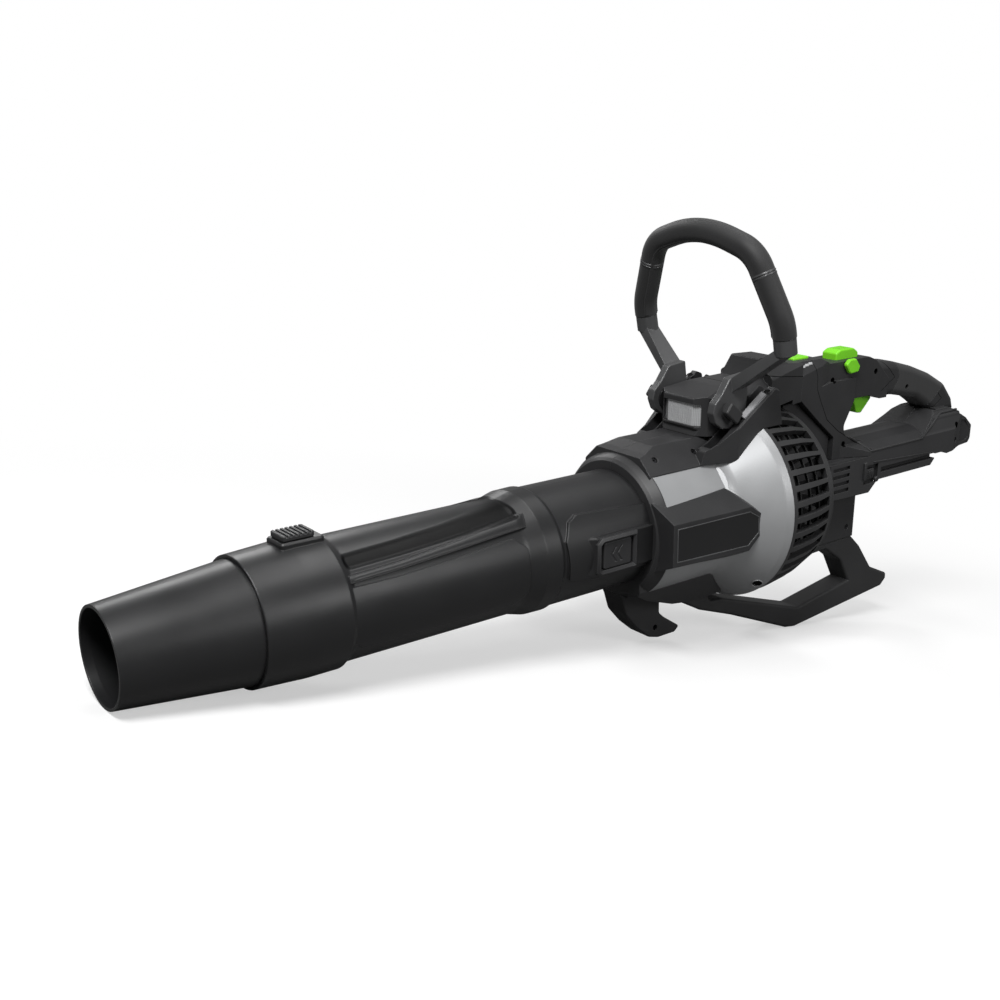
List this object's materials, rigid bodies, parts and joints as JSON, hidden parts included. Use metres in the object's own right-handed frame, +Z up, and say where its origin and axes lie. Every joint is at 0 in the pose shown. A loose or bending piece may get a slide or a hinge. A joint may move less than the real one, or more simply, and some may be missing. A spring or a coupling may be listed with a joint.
{
  "type": "leaf blower",
  "caption": "Handheld battery leaf blower: air tube with sliding nozzle, axial fan in a flared bell, tilting bale handle, rear grip with trigger and a skid.",
  "frame": {"origin": "centre of the foot print, on the floor that the nozzle's lip and the skid stand on", "axes": "+X forward towards the nozzle, along the floor; +Y to the operator's left; +Z up; the air tube's axis points nose down by 9.52 degrees"},
  "size_m": [1.1036, 0.2138, 0.4389],
  "materials": {
    "black_housing": "moulded black plastic, fine grain, satin",
    "silver_bell": "moulded silver grey plastic, satin",
    "side_plate_black": "smooth black plate, left bare",
    "satin_steel": "satin strip",
    "grip_rubber": "soft black rubber with a fine matt grain",
    "seal_rubber": "soft black sealing rubber",
    "control_green": "lime green moulded plastic",
    "lamp_lens": "ribbed clear lens",
    "circuit_board": "green board with black parts",
    "duct_plastic": "glass filled black plastic",
    "bearing_steel": "ground steel",
    "spring_steel": "drawn wire",
    "screw_steel": "blackened screws",
    "copper_and_iron": "copper windings on laminated iron",
    "bale_alloy": "satin grey paint",
    "switch_plastic": "black plastic",
    "terminal_block": "black block with metal blades"
  },
  "bodies": {
    "machine": {"nozzle_lock_spring": "spring_steel", "blower_tube": "black_housing", "tube_latch_spring_left": "spring_steel", "tube_latch_spring_right": "spring_steel", "tube_seal": "seal_rubber", "housing_left": "black_housing", "housing_right": "black_housing", "housing_screws": "screw_steel", "bell_left": "silver_bell", "bell_right": "silver_bell", "side_plate_left": "side_plate_black", "side_plate_right": "side_plate_black", "shoulder_strip_left": "satin_steel", "shoulder_strip_right": "satin_steel", "fan_duct": "duct_plastic", "tail_cone": "duct_plastic", "motor_end_cap": "duct_plastic", "motor_screws": "screw_steel", "motor_stator": "copper_and_iron", "bearing_front": "bearing_steel", "bearing_rear": "bearing_steel", "intake_guard": "black_housing", "frame_screws": "screw_steel", "console": "black_housing", "light_lens": "lamp_lens", "light_board": "circuit_board", "bale_bolts": "black_housing", "bale_washers": "switch_plastic", "handle_left": "black_housing", "handle_right": "black_housing", "handle_grip": "grip_rubber", "handle_screws": "screw_steel", "control_pins": "bearing_steel", "trigger_spring": "spring_steel", "trigger_switch": "switch_plastic", "paddle_spring": "spring_steel", "boost_switch": "switch_plastic", "battery_mount": "black_housing", "battery_terminals": "terminal_block", "battery_latch_spring": "spring_steel", "rear_column": "black_housing", "controller_board": "circuit_board", "skid": "black_housing", "front_foot": "black_housing"},
    "nozzle_tip": {"nozzle": "black_housing"},
    "lock_slider": {"nozzle_lock_button": "black_housing"},
    "latch_left": {"tube_latch_left": "black_housing"},
    "latch_right": {"tube_latch_right": "black_housing"},
    "fan": {"motor_shaft": "bearing_steel", "motor_magnet": "copper_and_iron", "fan_rotor": "duct_plastic", "fan_nut": "bearing_steel", "fan_spinner": "duct_plastic"},
    "bale": {"bale_frame": "bale_alloy", "bale_grip": "grip_rubber"},
    "trigger_lever": {"trigger": "control_green"},
    "palm_paddle": {"top_paddle": "control_green"},
    "speed_lever": {"cruise_lever": "control_green"},
    "boost": {"boost_button": "control_green"},
    "battery_catch": {"battery_latch": "switch_plastic"}
  },
  "joints": [
    {"name": "nozzle_slide", "type": "slide", "parent": "machine", "child": "nozzle_tip", "axis": [0.9862, 0, -0.1653], "range_m": [0, 0.025]},
    {"name": "nozzle_lock", "type": "slide", "parent": "machine", "child": "lock_slider", "axis": [-0.9862, 0, 0.1653], "range_m": [0, 0.005], "stiffness_N_per_m": 400, "springref_m": -0.003, "deforming": ["nozzle_lock_spring"]},
    {"name": "tube_latch_left_press", "type": "slide", "parent": "machine", "child": "latch_left", "axis": [0, -1, 0], "range_m": [0, 0.002], "stiffness_N_per_m": 1500, "springref_m": -0.001, "deforming": ["tube_latch_spring_left"]},
    {"name": "tube_latch_right_press", "type": "slide", "parent": "machine", "child": "latch_right", "axis": [0, 1, 0], "range_m": [0, 0.002], "stiffness_N_per_m": 1500, "springref_m": -0.001, "deforming": ["tube_latch_spring_right"]},
    {"name": "fan_spin", "type": "hinge", "parent": "machine", "child": "fan", "pos_m": [-0.0759, 0, 0.1453], "axis": [0.9862, 0, -0.1653], "continuous": true},
    {"name": "bale_tilt", "type": "hinge", "parent": "machine", "child": "bale", "pos_m": [-0.06265, 0, 0.25462], "axis": [0, 1, 0], "range_deg": [-25, 25]},
    {"name": "trigger_pull", "type": "hinge", "parent": "machine", "child": "trigger_lever", "pos_m": [-0.31629, 0, 0.28396], "axis": [0, 1, 0], "range_deg": [0, 12], "stiffness_Nm_per_rad": 0.2, "springref_deg": -8.59, "deforming": ["trigger_spring"]},
    {"name": "paddle_press", "type": "hinge", "parent": "machine", "child": "palm_paddle", "pos_m": [-0.27746, 0, 0.3099], "axis": [0, -1, 0], "range_deg": [0, 7], "stiffness_Nm_per_rad": 0.15, "springref_deg": -5.73, "deforming": ["paddle_spring"]},
    {"name": "cruise_turn", "type": "hinge", "parent": "machine", "child": "speed_lever", "pos_m": [-0.28388, 0.019, 0.30793], "axis": [0, -1, 0], "range_deg": [0, 35]},
    {"name": "boost_press", "type": "slide", "parent": "machine", "child": "boost", "axis": [-0.1653, 0, -0.9862], "range_m": [0, 0.002], "stiffness_N_per_m": 900, "springref_m": -0.001},
    {"name": "battery_catch_press", "type": "slide", "parent": "machine", "child": "battery_catch", "axis": [0, -1, 0], "range_m": [0, 0.0025], "stiffness_N_per_m": 800, "springref_m": -0.002, "deforming": ["battery_latch_spring"]}
  ]
}
